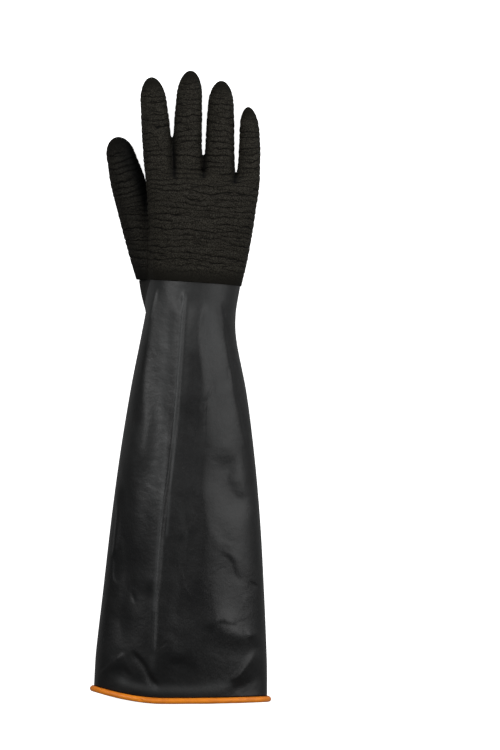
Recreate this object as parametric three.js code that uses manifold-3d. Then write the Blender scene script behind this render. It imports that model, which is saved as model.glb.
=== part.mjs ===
// A long industrial rubber gauntlet for the right hand, lying palm down with its fingers along +Y.
// A smooth black sleeve runs up inside the crinkled hand, and its open rim carries a rolled orange bead.
// Millimetres and degrees, +Z up. The origin is under the middle of the glove, on the surface it lies on.

import * as THREE from "three";
import { mergeVertices } from "three/addons/utils/BufferGeometryUtils.js";
import Module from "manifold-3d";

// Lengths along the glove.
const sleeveLength = 393; // open rim to the edge of the crinkle coat
const palmLength = 104; // edge of the coat to the forks of the fingers
const lapLength = 9; // how far the sleeve runs up inside the crinkled hand

// Widths and heights of the puffed tube, outside.
const rimWidth = 164;
const wristWidth = 85;
const knuckleWidth = 104;
const sleeveHeight = 58;
const palmHeight = 53; // top of the hand above the surface
const palmLift = 9; // underside of the palm above the surface

// Walls and clearances.
const sleeveWall = 1.2;
const coatThickness = 0.6; // the crinkle coat, where it laps over the sleeve
const clearance = 0.3;

// Rolled bead on the rim.
const beadDiameter = 5.5;
const beadStandOut = 1.1; // bead's middle, outside the sleeve's outer face

// The lie of the glove: sideways drift of its middle line, and the turn of the hand.
const sleeveDrift = 14;
const palmDrift = 7;
const handTurn = 4; // degrees, clockwise from above
const rimDrawBack = 14; // how far the thumb side of the rim is drawn back
const rimRise = 2; // how far its other side is drawn back
const thumbRootBulge = 22; // how far the ball of the thumb stands out beside the palm
const thumbRootFade = 30; // how far below the coat edge that bulge dies out

// Finger stalls, each measured from its root inside the palm.
const indexLength = 111;
const middleLength = 116;
const ringLength = 111;
const littleLength = 90;
const thumbLength = 127;
const indexWidth = 27;
const middleWidth = 27;
const ringWidth = 28;
const littleWidth = 21;
const thumbWidth = 32;
const fingerTipLength = 26;
const thumbTipLength = 20;
const fingerRootHeight = 29; // middle of a finger's root above the surface
const fingerDroop = 21; // how far its tip would sink from there
const thumbRootHeight = 23;
const thumbDroop = 30;

// Folds in the upper face of the sleeve.
const foldHeight = 6;
const foldWidth = 20;

// Form of the tube's section.
const waistShare = 0.45; // height of its widest place
const sideFullness = 0.92; // an ellipse has 1, and less is boxier
const crownFullness = 0.9;
const bellyFlattening = 1.2; // how far a full belly is cut off flat underneath
const thumbBulgeAngle = 205; // degrees round the section, from the little finger's side over the top
const thumbBulgeSpread = 32; // degrees
const rimTurnStart = 0.3; // share of half the width where the rim begins to be drawn back
const rimTurnCurve = 1.6;

// Sides and rings of the faceted surfaces.
const upperSides = 28;
const lowerSides = 16;
const stallSides = 16;
const beadSides = 10;
const sleeveRings = 24;
const ringCrowding = 1.15; // over 1 crowds the sleeve's rings towards the rim
const pointCrowding = 0.17; // crowds a ring's points towards its top and bottom
const tipRings = 4;
const tipStub = 0.35; // share of a step by which the last ring stops short of the tip

// Sections of the sleeve from rim (0) to coat edge (1). flare goes from the wrist's width (0) to the
// rim's (1), drift is the share of sleeveDrift, crown the share of sleeveHeight, and lift the share of
// the bead's stand below it.
const sleeveSections = [
  { at: 0.0, flare: 1.0, drift: 0.0, crown: 0.95, lift: 1.0 },
  { at: 0.05, flare: 0.99, drift: 0.03, crown: 0.97, lift: 0.45 },
  { at: 0.1, flare: 0.97, drift: 0.06, crown: 0.99, lift: 0.0 },
  { at: 0.25, flare: 0.85, drift: 0.2, crown: 1.0, lift: 0.0 },
  { at: 0.42, flare: 0.7, drift: 0.34, crown: 1.0, lift: 0.0 },
  { at: 0.58, flare: 0.52, drift: 0.45, crown: 0.98, lift: 0.0 },
  { at: 0.74, flare: 0.3, drift: 0.54, crown: 0.96, lift: 0.0 },
  { at: 0.87, flare: 0.065, drift: 0.56, crown: 0.95, lift: 0.0 },
  { at: 0.93, flare: 0.0, drift: 0.7, crown: 0.94, lift: 0.2 },
  { at: 1.0, flare: 0.0, drift: 1.0, crown: 0.93, lift: 0.5 },
];

// Sections of the palm from coat edge (0) to finger forks (1). spread goes from the wrist's width (0)
// to the knuckles' (1), crown is the share of palmHeight, lift of palmLift, thumb of thumbRootBulge and
// turn of handTurn.
const palmSections = [
  { at: 0.0, spread: 0.0, drift: 0.0, crown: 1.0, lift: 0.18, thumb: 0.5, turn: 1.0 },
  { at: 0.2, spread: 0.29, drift: 0.3, crown: 1.0, lift: 0.45, thumb: 0.9, turn: 1.1 },
  { at: 0.38, spread: 0.5, drift: 0.53, crown: 1.0, lift: 0.7, thumb: 0.8, turn: 1.2 },
  { at: 0.56, spread: 0.68, drift: 0.73, crown: 0.98, lift: 0.9, thumb: 0.3, turn: 1.3 },
  { at: 0.75, spread: 0.86, drift: 0.88, crown: 0.95, lift: 1.0, thumb: 0.0, turn: 1.4 },
  { at: 0.9, spread: 0.97, drift: 1.0, crown: 0.88, lift: 1.2, thumb: 0.0, turn: 1.5 },
  { at: 1.0, spread: 0.93, drift: 1.04, crown: 0.74, lift: 1.9, thumb: 0.0, turn: 1.6 },
];

// Folds run over the sleeve's upper face. along goes from rim (0) to coat edge (1), across from the
// thumb side (-1) to the little finger's side (1), bow is the share of foldWidth that the line bends
// sideways, and width and height are shares of foldWidth and foldHeight. A valley has height below 0.
const folds = [
  { name: "main ridge", along: [0.97, 0.3], across: [-0.21, -0.22], bow: 0.0, width: 0.3, height: 0.75 },
  { name: "lower ridge", along: [0.64, 0.12], across: [-0.3, -0.34], bow: 0.1, width: 0.32, height: 0.7 },
  { name: "long valley", along: [0.9, 0.22], across: [0.02, -0.02], bow: 0.0, width: 0.8, height: -1.0 },
  { name: "right swell", along: [0.95, 0.5], across: [0.45, 0.4], bow: 0.0, width: 0.9, height: 0.5 },
  { name: "left hollow", along: [0.42, 0.1], across: [-0.72, -0.68], bow: 0.0, width: 0.7, height: -0.7 },
  { name: "chevron", along: [0.78, 0.69], across: [0.42, 0.2], bow: 0.0, width: 0.28, height: -0.45 },
  { name: "side dent", along: [0.6, 0.52], across: [0.92, 0.62], bow: 0.1, width: 0.4, height: -0.5 },
  { name: "slant ridge", along: [0.4, 0.26], across: [0.5, 0.93], bow: 0.1, width: 0.35, height: 0.6 },
  { name: "slant dent", along: [0.36, 0.22], across: [0.4, 0.85], bow: 0.1, width: 0.35, height: -0.7 },
  { name: "corner fold", along: [0.14, 0.02], across: [0.98, 0.4], bow: 0.0, width: 0.5, height: -0.9 },
  { name: "rim ripple", along: [0.09, 0.05], across: [0.1, 0.75], bow: 0.0, width: 0.4, height: 0.55 },
  { name: "rim crease", along: [0.13, 0.02], across: [-0.52, -0.22], bow: 0.0, width: 0.3, height: -0.7 },
  { name: "rim pocket", along: [0.1, 0.05], across: [-0.78, -0.5], bow: 0.0, width: 0.45, height: -0.8 },
];

// Stalls by root and lean. seat is the share of half the knuckles' width, root the share of palmLength
// from the coat edge, lean is in degrees towards the little finger, and bow the share of the stall's
// width that it bends that way.
const fingers = [
  { seat: -0.75, root: 0.797, lean: -4.8, bow: 0.03, length: indexLength, width: indexWidth },
  { seat: -0.25, root: 0.823, lean: 0.7, bow: -0.04, length: middleLength, width: middleWidth },
  { seat: 0.31, root: 0.797, lean: 1.3, bow: 0.0, length: ringLength, width: ringWidth },
  { seat: 0.79, root: 0.761, lean: 1.8, bow: 0.12, length: littleLength, width: littleWidth },
];
const thumb = { seat: -0.84, root: 0.12, lean: -15.2, bow: 0.0, length: thumbLength, width: thumbWidth };

// Girth of a stall from its root (0) to where the rounded tip begins (1).
const fingerGirth = [
  { at: 0.0, girth: 0.84 },
  { at: 0.2, girth: 0.93 },
  { at: 0.5, girth: 1.0 },
  { at: 0.8, girth: 0.99 },
  { at: 1.0, girth: 0.94 },
];
const thumbGirth = [
  { at: 0.0, girth: 0.6 },
  { at: 0.1, girth: 0.88 },
  { at: 0.25, girth: 0.99 },
  { at: 0.5, girth: 1.0 },
  { at: 0.8, girth: 0.98 },
  { at: 1.0, girth: 0.9 },
];
const stallFlatness = 0.92; // a stall's height over its width

const wasm = await Module();
wasm.setup();

const degrees = Math.PI / 180;
const mix = (a, b, t) => a + (b - a) * t;
const clamp = (t) => Math.min(1, Math.max(0, t));
const signedPower = (v, p) => Math.sign(v) * Math.abs(v) ** p;

// A named column of a table at t, on a smooth curve through its rows.
function read(rows, column, t) {
  let i = 0;
  while (i < rows.length - 2 && t > rows[i + 1].at) i += 1;
  const [a, b] = [rows[i], rows[i + 1]];
  const before = rows[Math.max(0, i - 1)];
  const after = rows[Math.min(rows.length - 1, i + 2)];
  const span = b.at - a.at;
  const u = clamp((t - a.at) / span);
  const slopeA = ((b[column] - before[column]) / (b.at - before.at)) * span;
  const slopeB = ((after[column] - a[column]) / (after.at - a.at)) * span;
  const [u2, u3] = [u * u, u * u * u];
  return (
    a[column] * (2 * u3 - 3 * u2 + 1) +
    slopeA * (u3 - 2 * u2 + u) +
    b[column] * (3 * u2 - 2 * u3) +
    slopeB * (u3 - u2)
  );
}

// Size and place of the tube's section at a distance s from the rim.
function section(s) {
  const beadStand = beadDiameter / 2 + beadStandOut;
  if (s <= sleeveLength) {
    const t = clamp(s / sleeveLength);
    const nearWrist = clamp(1 - (sleeveLength - s) / thumbRootFade);
    return {
      middle: read(sleeveSections, "drift", t) * sleeveDrift,
      halfWidth: mix(wristWidth, rimWidth, read(sleeveSections, "flare", t)) / 2,
      top: read(sleeveSections, "crown", t) * mix(sleeveHeight, wristTop(), t ** 4),
      bottom: Math.max(0, read(sleeveSections, "lift", t)) * mix(beadStand, wristLift(), t ** 4),
      turn: handTurn * t ** 3,
      thumb: thumbRootBulge * palmSections[0].thumb * nearWrist,
    };
  }
  const t = (s - sleeveLength) / palmLength;
  return {
    middle: sleeveDrift + read(palmSections, "drift", t) * palmDrift,
    halfWidth: mix(wristWidth, knuckleWidth, read(palmSections, "spread", t)) / 2,
    top: read(palmSections, "crown", t) * palmHeight,
    bottom: read(palmSections, "lift", t) * palmLift,
    turn: read(palmSections, "turn", t) * handTurn,
    thumb: thumbRootBulge * read(palmSections, "thumb", t),
  };
}

// What the sleeve's last row multiplies, so that it ends where the palm's first row begins.
const lastSleeveSection = sleeveSections[sleeveSections.length - 1];
const wristTop = () => (palmHeight * palmSections[0].crown) / lastSleeveSection.crown;
const wristLift = () => (palmLift * palmSections[0].lift) / lastSleeveSection.lift;

// Height that the folds add at a place on the sleeve's upper face.
function foldRise(along, x, middle, halfWidth) {
  let rise = 0;
  for (const fold of folds) {
    const [startAlong, endAlong] = fold.along;
    const start = new THREE.Vector2(middle + fold.across[0] * halfWidth, startAlong * sleeveLength);
    const end = new THREE.Vector2(middle + fold.across[1] * halfWidth, endAlong * sleeveLength);
    const line = end.clone().sub(start);
    const point = new THREE.Vector2(x, along * sleeveLength).sub(start);
    const t = point.dot(line) / line.lengthSq();
    const reach = clamp(t);
    const side = point.cross(line) / line.length() - fold.bow * foldWidth * 4 * reach * (1 - reach);
    const past = (t - reach) * line.length();
    const width = fold.width * foldWidth;
    const fade = 1 - (2 * reach - 1) ** 4;
    rise += fold.height * foldHeight * fade * Math.exp(-(side ** 2 + past ** 2) / width ** 2);
  }
  return rise;
}

// One ring of points round the tube at distance s from the rim, grown outwards by offset.
function tubeRing(s, offset) {
  const { middle, halfWidth, top, bottom, turn, thumb } = section(s);
  const waist = mix(bottom, top, waistShare);
  const drawFade = clamp(1 - s / rimWidth) ** 2;
  const ring = [];
  for (let i = 0; i < upperSides + lowerSides; i += 1) {
    const even = Math.PI * (i < upperSides ? i / upperSides : 1 + (i - upperSides) / lowerSides);
    const angle = even + pointCrowding * Math.sin(2 * even);
    const across = signedPower(Math.cos(angle), sideFullness);
    const up = signedPower(Math.sin(angle), crownFullness);
    const x = middle + across * (halfWidth + offset);
    const fromThumb = (angle / degrees - thumbBulgeAngle) / thumbBulgeSpread;
    const bulge = thumb * Math.exp(-(fromThumb ** 2));
    let z = waist + up * (top - waist + offset);
    if (up < 0) z = waist + Math.max(-1, up * bellyFlattening) * (waist - bottom + offset);
    else if (s < sleeveLength) z += Math.sqrt(up) * foldRise(s / sleeveLength, x, middle, halfWidth);
    const turned = clamp((-across - rimTurnStart) / (1 - rimTurnStart)) ** rimTurnCurve;
    const drawn = rimDrawBack * turned + rimRise * Math.max(0, across) ** 2;
    const y = s + drawFade * drawn - Math.tan(turn * degrees) * (x - middle);
    ring.push(new THREE.Vector3(x - bulge, y, z));
  }
  return ring;
}

// A closed skin from rings of equal count. A loop joins its last ring to its first, and otherwise both
// ends are capped.
function skin(rings, loop = false) {
  const sides = rings[0].length;
  const points = rings.flat();
  const index = [];
  const last = loop ? rings.length : rings.length - 1;
  for (let r = 0; r < last; r += 1) {
    const [low, high] = [r * sides, ((r + 1) % rings.length) * sides];
    for (let i = 0; i < sides; i += 1) {
      const j = (i + 1) % sides;
      index.push(low + i, high + i, low + j, low + j, high + i, high + j);
    }
  }
  if (!loop) {
    for (const [r, flip] of [[0, false], [rings.length - 1, true]]) {
      const centre = rings[r].reduce((sum, p) => sum.add(p), new THREE.Vector3());
      points.push(centre.divideScalar(sides));
      for (let i = 0; i < sides; i += 1) {
        const pair = [r * sides + i, r * sides + ((i + 1) % sides)];
        if (flip) pair.reverse();
        index.push(...pair, points.length - 1);
      }
    }
  }
  const geometry = new THREE.BufferGeometry().setFromPoints(points);
  geometry.setIndex(index);
  return geometry;
}

// A point on the middle line of a stall, at a share of its length. It never sinks into the surface.
function stallPlace(stall, share, halfHeight, isThumb) {
  const rootPlace = section(sleeveLength + stall.root * palmLength);
  const x = rootPlace.middle + (stall.seat * knuckleWidth) / 2;
  const y = sleeveLength + stall.root * palmLength - Math.tan(handTurn * degrees) * (x - rootPlace.middle);
  const lean = stall.lean * degrees;
  const reach = share * stall.length;
  const sideways = stall.bow * stall.width * Math.sin(Math.PI * share);
  const fingerHeight = fingerRootHeight - fingerDroop * share ** 1.3;
  const height = isThumb ? thumbRootHeight - thumbDroop * share : fingerHeight;
  return new THREE.Vector3(
    x + reach * Math.sin(lean) + sideways * Math.cos(lean),
    y + reach * Math.cos(lean) - sideways * Math.sin(lean),
    Math.max(height, halfHeight),
  );
}

// A stall as a solid with a rounded root and tip, its wall inset from the outer face.
function stallSolid(stall, inset, isThumb = false) {
  const tipLength = isThumb ? thumbTipLength : fingerTipLength;
  const girths = isThumb ? thumbGirth : fingerGirth;
  const tipStart = 1 - tipLength / stall.length;
  const tipReach = (tipLength - inset) / stall.length;
  const stations = girths.map(({ at, girth }) => ({ share: at * tipStart, girth, closing: 1 }));
  const { girth: lastGirth } = girths[girths.length - 1];
  for (let k = 1; k <= tipRings; k += 1) {
    const turn = (k / (tipRings + tipStub)) * (Math.PI / 2);
    const share = tipStart + tipReach * Math.sin(turn);
    stations.push({ share, girth: lastGirth, closing: Math.cos(turn) });
  }
  const lean = stall.lean * degrees;
  const rings = stations.map(({ share, girth, closing }) => {
    const outerHalfWidth = (girth * stall.width) / 2;
    const outerHalfHeight = outerHalfWidth * stallFlatness;
    const place = stallPlace(stall, share, outerHalfHeight, isThumb);
    const ring = [];
    for (let i = 0; i < stallSides; i += 1) {
      const angle = (i / stallSides) * 2 * Math.PI;
      const across = (outerHalfWidth - inset) * closing * Math.cos(angle);
      const up = (outerHalfHeight - inset) * closing * Math.sin(angle);
      const x = place.x + across * Math.cos(lean);
      const y = place.y - across * Math.sin(lean);
      ring.push(new THREE.Vector3(x, y, place.z + up));
    }
    return ring;
  });
  return solid(skin(rings));
}

// A closed skin as a manifold solid, and a manifold solid as a geometry.
function solid(geometry) {
  geometry.deleteAttribute("normal");
  geometry.deleteAttribute("uv");
  const merged = mergeVertices(geometry, 1e-4);
  const vertProperties = new Float32Array(merged.attributes.position.array);
  const triVerts = new Uint32Array(merged.index.array);
  return new wasm.Manifold(new wasm.Mesh({ numProp: 3, vertProperties, triVerts }));
}

function geometryOf(manifold) {
  const mesh = manifold.getMesh();
  const geometry = new THREE.BufferGeometry();
  geometry.setAttribute("position", new THREE.BufferAttribute(mesh.vertProperties, 3));
  geometry.setIndex(new THREE.BufferAttribute(mesh.triVerts, 1));
  return geometry;
}

// The smooth sleeve: a wall from the rim to the end of its lap inside the hand.
function sleeveGeometry() {
  const stations = [];
  for (let i = 0; i <= sleeveRings; i += 1) {
    stations.push(sleeveLength * (i / sleeveRings) ** ringCrowding);
  }
  stations.push(sleeveLength + lapLength);
  const outside = stations.map((s) => tubeRing(s, 0));
  const inside = stations.map((s) => tubeRing(s, -sleeveWall)).reverse();
  return skin([...outside, ...inside], true);
}

// The crinkled hand: palm, four finger stalls and thumb as one hollow wall, open at the wrist.
function handGeometry() {
  const palm = (offset, from, to) => {
    const stations = palmSections.map(({ at }) => at * palmLength);
    stations[0] = from;
    stations[stations.length - 1] += to;
    return solid(skin(stations.map((s) => tubeRing(sleeveLength + s, offset))));
  };
  const coatOffset = clearance + coatThickness;
  const wall = coatOffset + sleeveWall;
  const fork = (inset) =>
    [...fingers.map((f) => stallSolid(f, inset)), stallSolid(thumb, inset, true)].reduce((all, one) =>
      all.add(one),
    );
  const outside = palm(coatOffset, 0, 0).add(fork(0));
  const inside = palm(-sleeveWall, -lapLength, -wall).add(fork(wall));
  const lapRings = [-lapLength, 0, lapLength, lapLength + clearance];
  const lap = solid(skin(lapRings.map((d) => tubeRing(sleeveLength + d, clearance))));
  return geometryOf(outside.subtract(inside).subtract(lap));
}

// The rolled bead: a round section swept round the rim, one clearance off the outer corner of its wall.
function beadGeometry() {
  const radius = beadDiameter / 2;
  const drop = Math.sqrt((radius + clearance) ** 2 - beadStandOut ** 2);
  const rim = tubeRing(0, 0);
  const rings = rim.map((point, i) => {
    const before = rim[(i + rim.length - 1) % rim.length];
    const after = rim[(i + 1) % rim.length];
    const out = new THREE.Vector3(after.z - before.z, 0, before.x - after.x).normalize();
    const ring = [];
    for (let k = 0; k < beadSides; k += 1) {
      const angle = (-k / beadSides) * 2 * Math.PI;
      const place = point.clone().addScaledVector(out, beadStandOut + radius * Math.cos(angle));
      ring.push(place.setY(point.y - drop + radius * Math.sin(angle)));
    }
    return ring;
  });
  return skin(rings, true);
}

const finishes = {
  crinkledRubber: new THREE.MeshStandardMaterial({ color: 0x2b2823, roughness: 0.85, metalness: 0 }),
  smoothRubber: new THREE.MeshStandardMaterial({ color: 0x2d2e2e, roughness: 0.45, metalness: 0 }),
  orangeRubber: new THREE.MeshStandardMaterial({ color: 0xd9772b, roughness: 0.5, metalness: 0 }),
};

const glove = new THREE.Group();
for (const [name, geometry, finish] of [
  ["crinkled_hand", handGeometry(), finishes.crinkledRubber],
  ["gauntlet_sleeve", sleeveGeometry(), finishes.smoothRubber],
  ["rolled_bead", beadGeometry(), finishes.orangeRubber],
]) {
  const mesh = new THREE.Mesh(geometry, finish);
  mesh.name = name;
  glove.add(mesh);
}

// The glove is moved so that the origin lies under its middle.
const box = new THREE.Box3().setFromObject(glove);
const middle = box.getCenter(new THREE.Vector3()).setZ(box.min.z);
for (const mesh of glove.children) mesh.position.sub(middle);

export default glove;
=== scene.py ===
import math

import bmesh
import bpy
import numpy as np
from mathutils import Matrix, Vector


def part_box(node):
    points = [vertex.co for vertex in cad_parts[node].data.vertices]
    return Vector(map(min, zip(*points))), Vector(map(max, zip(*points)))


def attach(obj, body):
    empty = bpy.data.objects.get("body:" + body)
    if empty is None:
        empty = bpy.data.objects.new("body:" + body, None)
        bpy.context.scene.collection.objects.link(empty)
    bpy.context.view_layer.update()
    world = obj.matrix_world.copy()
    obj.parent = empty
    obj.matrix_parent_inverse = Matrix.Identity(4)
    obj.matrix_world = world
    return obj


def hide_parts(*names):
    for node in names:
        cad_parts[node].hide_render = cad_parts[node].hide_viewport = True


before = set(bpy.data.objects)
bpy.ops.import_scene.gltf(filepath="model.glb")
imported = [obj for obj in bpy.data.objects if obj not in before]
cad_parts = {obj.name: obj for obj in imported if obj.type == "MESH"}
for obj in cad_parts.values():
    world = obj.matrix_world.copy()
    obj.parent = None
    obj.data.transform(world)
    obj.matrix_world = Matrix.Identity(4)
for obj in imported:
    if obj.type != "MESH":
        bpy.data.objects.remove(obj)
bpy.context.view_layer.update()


# The camera looks straight down on the glove, which lies in the left half of the picture with its
# fingers towards the top. A long lens from well above keeps the puffed sleeve from looking flared.
picture_size = (500, 750)  # pixels
picture_scale = 0.9501e-3  # metres to a pixel, on the surface that the glove lies on
glove_middle = (180.8, 386.65)  # pixels, middle of the glove in the picture
lens_height = 2.6
sensor_width = 36  # millimetres, as the lens
outline_height = 0.018  # metres, where the glove's outline lies

camera_data = bpy.data.cameras.new("camera")
camera_data.sensor_width = sensor_width
camera = bpy.data.objects.new("camera", camera_data)
bpy.context.scene.collection.objects.link(camera)
bpy.context.scene.camera = camera
camera_data.lens = sensor_width * (lens_height - outline_height) / (picture_size[1] * picture_scale)
camera.location = (
    (picture_size[0] / 2 - glove_middle[0]) * picture_scale,
    (glove_middle[1] - picture_size[1] / 2) * picture_scale,
    lens_height,
)


# The sleeve is a smooth satin wall of black rubber that has been folded for packing, so it keeps soft
# ridges along its length and short creases across it. Its inner face is the orange first dip.

# The tube that the sleeve and the palm share: one slack dipped tube, flat where it lies on the
# surface, wide at the rim, narrow at the wrist and wide again at the knuckles. Lengths are metres.
MM = 0.001
sleeve_length = 393 * MM
palm_length = 104 * MM
rim_width = 164 * MM
wrist_width = 85 * MM
knuckle_width = 104 * MM
sleeve_height = 58 * MM
palm_height = 53 * MM
palm_lift = 9 * MM
sleeve_wall = 1.2 * MM
coat_stand = 0.9 * MM  # how far the crinkle coat stands proud of the sleeve
bead_diameter = 5.5 * MM
bead_stand_out = 1.1 * MM
sleeve_drift = 14 * MM
palm_drift = 7 * MM
hand_turn = math.radians(4)
rim_draw_back = 12.2 * MM
rim_rise = 2 * MM
rim_crown_back = 3.6 * MM
rim_turn_start = 0.2
rim_turn_curve = 1.75
thumb_root_bulge = 26 * MM
thumb_root_fade = 30 * MM
thumb_bulge_angle = math.radians(214)
thumb_bulge_spread = math.radians(25)
waist_share = 0.45
side_fullness = 0.92
crown_fullness = 0.9
belly_flattening = 1.2

sleeve_sections = [
    {"at": 0.0, "flare": 1.0, "drift": 0.0, "crown": 0.95, "lift": 1.0},
    {"at": 0.05, "flare": 0.99, "drift": 0.03, "crown": 0.97, "lift": 0.45},
    {"at": 0.1, "flare": 0.97, "drift": 0.06, "crown": 0.99, "lift": 0.0},
    {"at": 0.25, "flare": 0.86, "drift": 0.2, "crown": 1.0, "lift": 0.0},
    {"at": 0.42, "flare": 0.72, "drift": 0.34, "crown": 1.0, "lift": 0.0},
    {"at": 0.58, "flare": 0.545, "drift": 0.45, "crown": 0.98, "lift": 0.0},
    {"at": 0.74, "flare": 0.315, "drift": 0.54, "crown": 0.96, "lift": 0.0},
    {"at": 0.87, "flare": 0.065, "drift": 0.56, "crown": 0.95, "lift": 0.0},
    {"at": 0.93, "flare": 0.0, "drift": 0.7, "crown": 0.94, "lift": 0.2},
    {"at": 1.0, "flare": 0.0, "drift": 1.0, "crown": 0.93, "lift": 0.5},
]
palm_sections = [
    {"at": 0.0, "spread": 0.0, "drift": 0.0, "crown": 1.0, "lift": 0.18, "thumb": 0.66, "turn": 1.0},
    {"at": 0.2, "spread": 0.29, "drift": 0.3, "crown": 1.0, "lift": 0.45, "thumb": 0.12, "turn": 1.1},
    {"at": 0.38, "spread": 0.5, "drift": 0.53, "crown": 1.0, "lift": 0.7, "thumb": 0.0, "turn": 1.2},
    {"at": 0.56, "spread": 0.68, "drift": 0.73, "crown": 0.98, "lift": 0.9, "thumb": 0.0, "turn": 1.3},
    {"at": 0.75, "spread": 0.86, "drift": 0.88, "crown": 0.95, "lift": 1.0, "thumb": 0.0, "turn": 1.4},
    {"at": 0.9, "spread": 0.97, "drift": 1.0, "crown": 0.88, "lift": 1.2, "thumb": 0.0, "turn": 1.5},
    {"at": 1.0, "spread": 0.93, "drift": 1.04, "crown": 0.74, "lift": 1.9, "thumb": 0.0, "turn": 1.6},
]

# A section's numbers are shares of the named sizes that they follow, as on the real former that the
# rubber is dipped on. This reads a named column of such a table on a smooth curve through its rows.
def read_column(rows, column, at):
    places = np.array([row["at"] for row in rows])
    values = np.array([row[column] for row in rows])
    at = np.clip(np.asarray(at, float), places[0], places[-1])
    i = np.clip(np.searchsorted(places, at, side="right") - 1, 0, len(rows) - 2)
    before = np.maximum(i - 1, 0)
    after = np.minimum(i + 2, len(rows) - 1)
    span = places[i + 1] - places[i]
    u = (at - places[i]) / span
    slope_a = (values[i + 1] - values[before]) / (places[i + 1] - places[before]) * span
    slope_b = (values[after] - values[i]) / (places[after] - places[i]) * span
    return (
        values[i] * (2 * u**3 - 3 * u**2 + 1)
        + slope_a * (u**3 - 2 * u**2 + u)
        + values[i + 1] * (3 * u**2 - 2 * u**3)
        + slope_b * (u**3 - u**2)
    )


def mix(a, b, t):
    return a + (b - a) * t


def signed_power(value, power):
    return np.sign(value) * np.abs(value) ** power


def new_piece(name, points, faces):
    mesh = bpy.data.meshes.new(name)
    mesh.from_pydata(np.asarray(points).tolist(), [], faces)
    mesh.update()
    mesh.shade_smooth()
    piece = bpy.data.objects.new(name, mesh)
    bpy.context.scene.collection.objects.link(piece)
    return piece


# The drawn lengths start at the rim, and the frame's origin is under the middle of the glove.
rim_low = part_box("gauntlet_sleeve")[0]
bead_low, bead_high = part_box("rolled_bead")
rim_origin = np.array([(bead_low.x + bead_high.x) / 2, rim_low.y, 0.0])


def tube_section(s):
    """Middle, half width, top, bottom, turn and thumb bulge at each distance s from the rim."""
    s = np.asarray(s, float)
    t = np.clip(s / sleeve_length, 0, 1)
    u = np.clip((s - sleeve_length) / palm_length, 0, 1)
    palm = s > sleeve_length
    bead_stand = bead_diameter / 2 + bead_stand_out
    last = sleeve_sections[-1]
    first = palm_sections[0]
    wrist_top = palm_height * first["crown"] / last["crown"]
    wrist_lift = palm_lift * first["lift"] / last["lift"]
    lift = np.maximum(0, read_column(sleeve_sections, "lift", t))
    near_wrist = np.clip(1 - (sleeve_length - s) / thumb_root_fade, 0, 1) ** 0.55
    return {
        "middle": np.where(
            palm,
            sleeve_drift + palm_drift * read_column(palm_sections, "drift", u),
            sleeve_drift * read_column(sleeve_sections, "drift", t),
        ),
        "half_width": np.where(
            palm,
            mix(wrist_width, knuckle_width, read_column(palm_sections, "spread", u)) / 2,
            mix(wrist_width, rim_width, read_column(sleeve_sections, "flare", t)) / 2,
        ),
        "top": np.where(
            palm,
            palm_height * read_column(palm_sections, "crown", u),
            read_column(sleeve_sections, "crown", t) * mix(sleeve_height, wrist_top, t**4),
        ),
        "bottom": np.where(
            palm,
            palm_lift * read_column(palm_sections, "lift", u),
            lift * mix(bead_stand, wrist_lift, t**4),
        ),
        "turn": np.where(palm, hand_turn * read_column(palm_sections, "turn", u), hand_turn * t**3),
        "thumb": np.where(
            palm,
            thumb_root_bulge * read_column(palm_sections, "thumb", u),
            thumb_root_bulge * first["thumb"] * near_wrist,
        ),
    }


def tube_points(distances, angles, offset, rise=None):
    """Points of the tube as an array of rings. rise gives the height that the folds add on top."""
    s, angle = np.meshgrid(distances, angles, indexing="ij")
    place = tube_section(s)
    waist = mix(place["bottom"], place["top"], waist_share)
    across = signed_power(np.cos(angle), side_fullness)
    up = signed_power(np.sin(angle), crown_fullness)
    x = place["middle"] + across * (place["half_width"] + offset)
    upper = waist + up * (place["top"] - waist + offset)
    lower = waist + np.maximum(-1, up * belly_flattening) * (waist - place["bottom"] + offset)
    z = np.where(up < 0, lower, upper)
    if rise is not None:
        z = z + np.sqrt(np.clip(up, 0, 1)) * rise(s, x)
    bulge = place["thumb"] * np.exp(-(((angle - thumb_bulge_angle) / thumb_bulge_spread) ** 2))
    fade = np.clip(1 - s / rim_width, 0, 1) ** 2
    turned = np.clip((-across - rim_turn_start) / (1 - rim_turn_start), 0, 1) ** rim_turn_curve
    drawn = rim_draw_back * turned + rim_rise * np.maximum(0, across) ** 2
    drawn = drawn + rim_crown_back * np.clip(up, 0, 1)
    y = s + fade * drawn - np.tan(place["turn"]) * (x - place["middle"])
    return np.stack([x - bulge, y, z], axis=-1) + rim_origin


def grid_faces(rings, sides, first=0):
    """Quads between rings that each close on themselves."""
    r, i = np.meshgrid(np.arange(rings - 1), np.arange(sides), indexing="ij")
    j = (i + 1) % sides
    quads = np.stack([r * sides + i, r * sides + j, (r + 1) * sides + j, (r + 1) * sides + i], axis=-1)
    return (quads.reshape(-1, 4) + first).tolist()


upper_sides = 160
lower_sides = 56
outer_rings = 350
inner_rings = 60
ring_crowding = 0.17  # crowds a ring's points towards its top and bottom
lap_length = 9 * MM
lap_end = sleeve_length + lap_length
tongue_length = 33 * MM
tongue_start = 168  # degrees round the tube, from the little finger's side over the top
tongue_slant = 27
tongue_end = 262
tongue_soft = 1.5  # degrees over which its edge fades
widest_inside = 9  # millimetres, the least width of a hollow on the inner face
rim_calm = 40 * MM  # the buckles fade over these lengths, to nothing at both ends
wrist_calm = 70 * MM
inner_drop = 0.8  # millimetres that the inner face lies lower, so that a wall stays everywhere
buckles = [(0.35, 19 * MM, 0.4, 3), (0.1, 8 * MM, 0.7, 4)]  # height in mm, size, stretch, seed

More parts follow.
